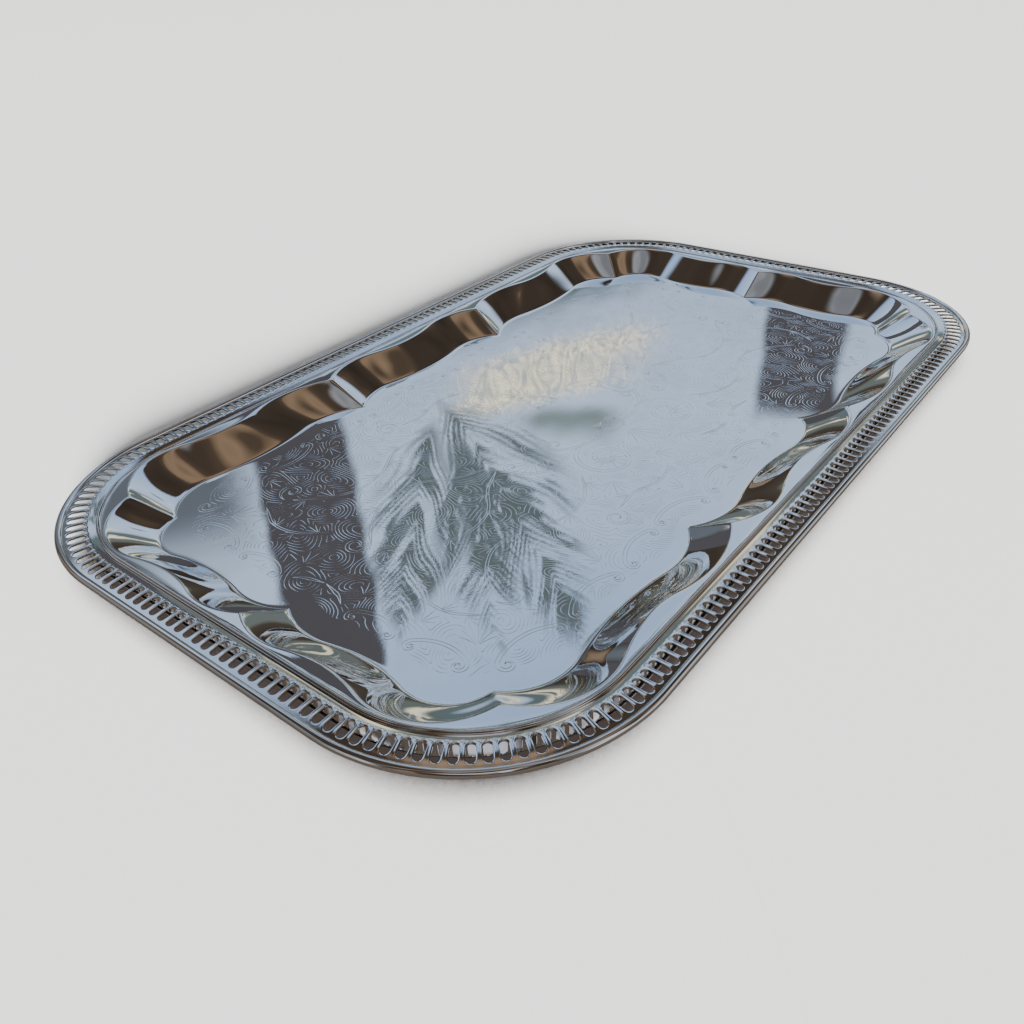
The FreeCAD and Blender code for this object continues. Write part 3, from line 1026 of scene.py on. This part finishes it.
def sky_colour(tree, azimuth, elevation, above, gaps, room):
    """Pale blue sky over a dark skyline, with broken light low down and a wall on each side."""
    sky = colour_ramp(tree, maths(tree, "DIVIDE", above, 90.0, clamp=True), (
        (0.0, (0.05, 0.04, 0.03)), (0.07, (0.07, 0.06, 0.05)), (0.10, (0.15, 0.17, 0.16)),
        (0.226, (0.13, 0.18, 0.20)), (0.250, (0.52, 0.66, 0.90)),
        (0.32, (0.60, 0.76, 1.00)), (0.50, (0.40, 0.56, 0.86)), (0.62, (0.38, 0.54, 0.82))))
    low_light = times(tree, soft_step(tree, gaps, 0.47, 0.56),
                      window(tree, elevation, 13.5, 17.5, 1.5))
    sky = blended(tree, low_light, sky, (1.15, 1.06, 0.80))
    left_wall = times(tree, soft_step(tree, azimuth, 33.0, 29.0),
                      soft_step(tree, elevation, 36.5, 30.0))
    sky = blended(tree, left_wall, sky, (0.13, 0.15, 0.18))
    right_wall = times(tree, soft_step(tree, azimuth, 73.0, 75.0),
                       soft_step(tree, elevation, 29.0, 33.0))
    return blended(tree, right_wall, sky, room)


def with_sunlit_leaves(tree, colour, place, azimuth, above):
    """Ragged, mottled cream patch just over the skyline."""
    mottle = noise(tree, place, 170.0, 3.0, 0.65, 0.5)
    leaves = blended(tree, soft_step(tree, mottle, 0.38, 0.60),
                     (0.55, 0.58, 0.50), (1.45, 1.30, 0.95))
    glow = patch(tree, azimuth, above, (46.5, 60.5), (23.6, 26.6), (4.0, 2.0))
    ragged = plus(tree, glow, times(tree, mottle, 0.8))
    glow = times(tree, glow, soft_step(tree, ragged, 0.45, 1.1))
    return blended(tree, glow, colour, leaves)


FRONDS = (((45.5, 26.0), (56.0, 43.0), 5.5), ((45.0, 28.0), (40.0, 42.0), 4.5),
          ((47.0, 29.0), (48.5, 43.0), 4.0))


def surround_colour(tree):
    """The whole surround, by direction."""
    place = node(tree, "ShaderNodeTexCoord").outputs["Generated"]
    split = node(tree, "ShaderNodeSeparateXYZ")
    tree.links.new(place, split.inputs["Vector"])
    x, y, z = (split.outputs[axis] for axis in "XYZ")
    azimuth = times(tree, maths(tree, "ARCTAN2", x, y), 180 / math.pi)
    elevation = times(tree, maths(tree, "ARCSINE", z), 180 / math.pi)
    lean = maths(tree, "MINIMUM", maths(tree, "MAXIMUM", azimuth, 38.0), 62.0)
    lean = times(tree, maths(tree, "SUBTRACT", lean, 53.5), 0.27)
    above = plus(tree, elevation, lean)
    gaps = noise(tree, place, 9.0, 3.0, 0.55, 0.6)

    room = room_colour(tree, place, azimuth, elevation)
    sky = sky_colour(tree, azimuth, elevation, above, gaps, room)
    ahead = times(tree, soft_step(tree, azimuth, -10.0, 4.0),
                  soft_step(tree, azimuth, 96.0, 86.0))
    ahead = times(tree, ahead, soft_step(tree, elevation, 54.0, 49.0))
    colour = blended(tree, ahead, room, sky)
    behind = patch(tree, azimuth, elevation, (-148.0, -110.0), (35.0, 48.0), (8.0, 4.0))
    colour = blended(tree, behind, colour, (0.62, 0.64, 0.74))
    colour = with_sunlit_leaves(tree, colour, place, azimuth, above)
    shade = patch(tree, azimuth, elevation, (51.5, 58.0), (27.7, 29.2), (1.2, 0.7))
    colour = blended(tree, shade, colour, (0.24, 0.31, 0.33))
    flags = maths(tree, "ADD",
                  patch(tree, azimuth, elevation, (32.0, 38.8), (-20.0, 52.0), (0.4, 2.0)),
                  patch(tree, azimuth, elevation, (67.5, 72.6), (-20.0, 27.2), (0.4, 0.8)))
    colour = blended(tree, flags, colour, (0.085, 0.082, 0.095))
    for root, tip, spread in FRONDS:
        shade = frond_shade(tree, azimuth, elevation, root, tip, spread)
        colour = blended(tree, shade, colour, (0.12, 0.15, 0.16))
    return colour


def build_world():
    """Surround of soft areas: sky, two dark flags and fronds ahead, warm walls, grey elsewhere.

    Azimuth is in degrees from +Y towards +X. Only reflections see the surround; the floor and
    other matt surfaces get even, neutral light.
    """
    world = bpy.data.worlds.new("studio")
    bpy.context.scene.world = world
    world.use_nodes = True
    tree = world.node_tree
    link = tree.links.new
    background = tree.nodes["Background"]
    background.inputs["Strength"].default_value = 1.15
    link(surround_colour(tree), background.inputs["Color"])
    even = node(tree, "ShaderNodeBackground", Color=(0.95, 0.97, 1.0, 1), Strength=0.16)
    path = node(tree, "ShaderNodeLightPath")
    mixer = node(tree, "ShaderNodeMixShader")
    link(path.outputs["Is Glossy Ray"], mixer.inputs["Fac"])
    link(even.outputs["Background"], mixer.inputs[1])
    link(background.outputs["Background"], mixer.inputs[2])
    link(mixer.outputs["Shader"], tree.nodes["World Output"].inputs["Surface"])


def add_light(data, name):
    """A light that shows neither to the camera nor in reflections."""
    light = bpy.data.objects.new(name, data)
    light.visible_camera = False
    light.visible_glossy = False
    bpy.context.scene.collection.objects.link(light)
    return light


def build_lights():
    """A low, soft, distant key from behind the camera and a little fill from above."""
    data = bpy.data.lights.new("key", "SUN")
    data.angle = math.radians(16)
    data.energy = 28
    data.color = (1.0, 0.985, 0.96)
    key = add_light(data, "key")
    key.rotation_euler = Vector((0.60, 0.80, -0.235)).to_track_quat("-Z", "Y").to_euler()
    data = bpy.data.lights.new("fill", "AREA")
    data.shape = "SQUARE"
    data.size = 2.4
    data.energy = 25
    data.color = (0.96, 0.98, 1.0)
    fill = add_light(data, "fill")
    fill.location = (0.6, 1.0, 4.4)
    fill.rotation_euler = (-fill.location).to_track_quat("-Z", "Y").to_euler()


def build_camera():
    """The photo's view: a close, wide lens over the tray's near corner."""
    data = bpy.data.cameras.new("camera")
    data.sensor_width = 36.0
    data.lens = 31.6
    camera = bpy.data.objects.new("camera", data)
    bpy.context.scene.collection.objects.link(camera)
    forward = Vector((0.63715, 0.52914, -0.56040)).normalized()
    turn = forward.to_track_quat("-Z", "Y").to_matrix().to_4x4()
    roll = Matrix.Rotation(math.radians(-2.78), 4, "Z")
    camera.matrix_world = Matrix.Translation((-0.3302, -0.2297, 0.2136)) @ turn @ roll
    bpy.context.scene.camera = camera


# ---- build ------------------------------------------------------------------
tray_plate = chrome("tray_plate", (0.80, 0.80, 0.795), (0.72, 0.715, 0.70), 0.006, 0.026, 900.0)
border_plate = chrome("border_plate", (0.79, 0.785, 0.77), (0.66, 0.64, 0.60), 0.025, 0.08, 1200.0)
drawn_wire = drawn_steel("drawn_wire")

build_pan(tray_plate)
scroll_lines = build_scrollwork(tray_plate)
build_matting(tray_plate, scroll_lines)
rim = rim_frames()
build_roll(border_plate, rim)
build_channel(border_plate, rim)
build_band(border_plate)
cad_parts["edge_wire"].material_slots[0].material = drawn_wire

build_stage()
build_world()
build_lights()
build_camera()
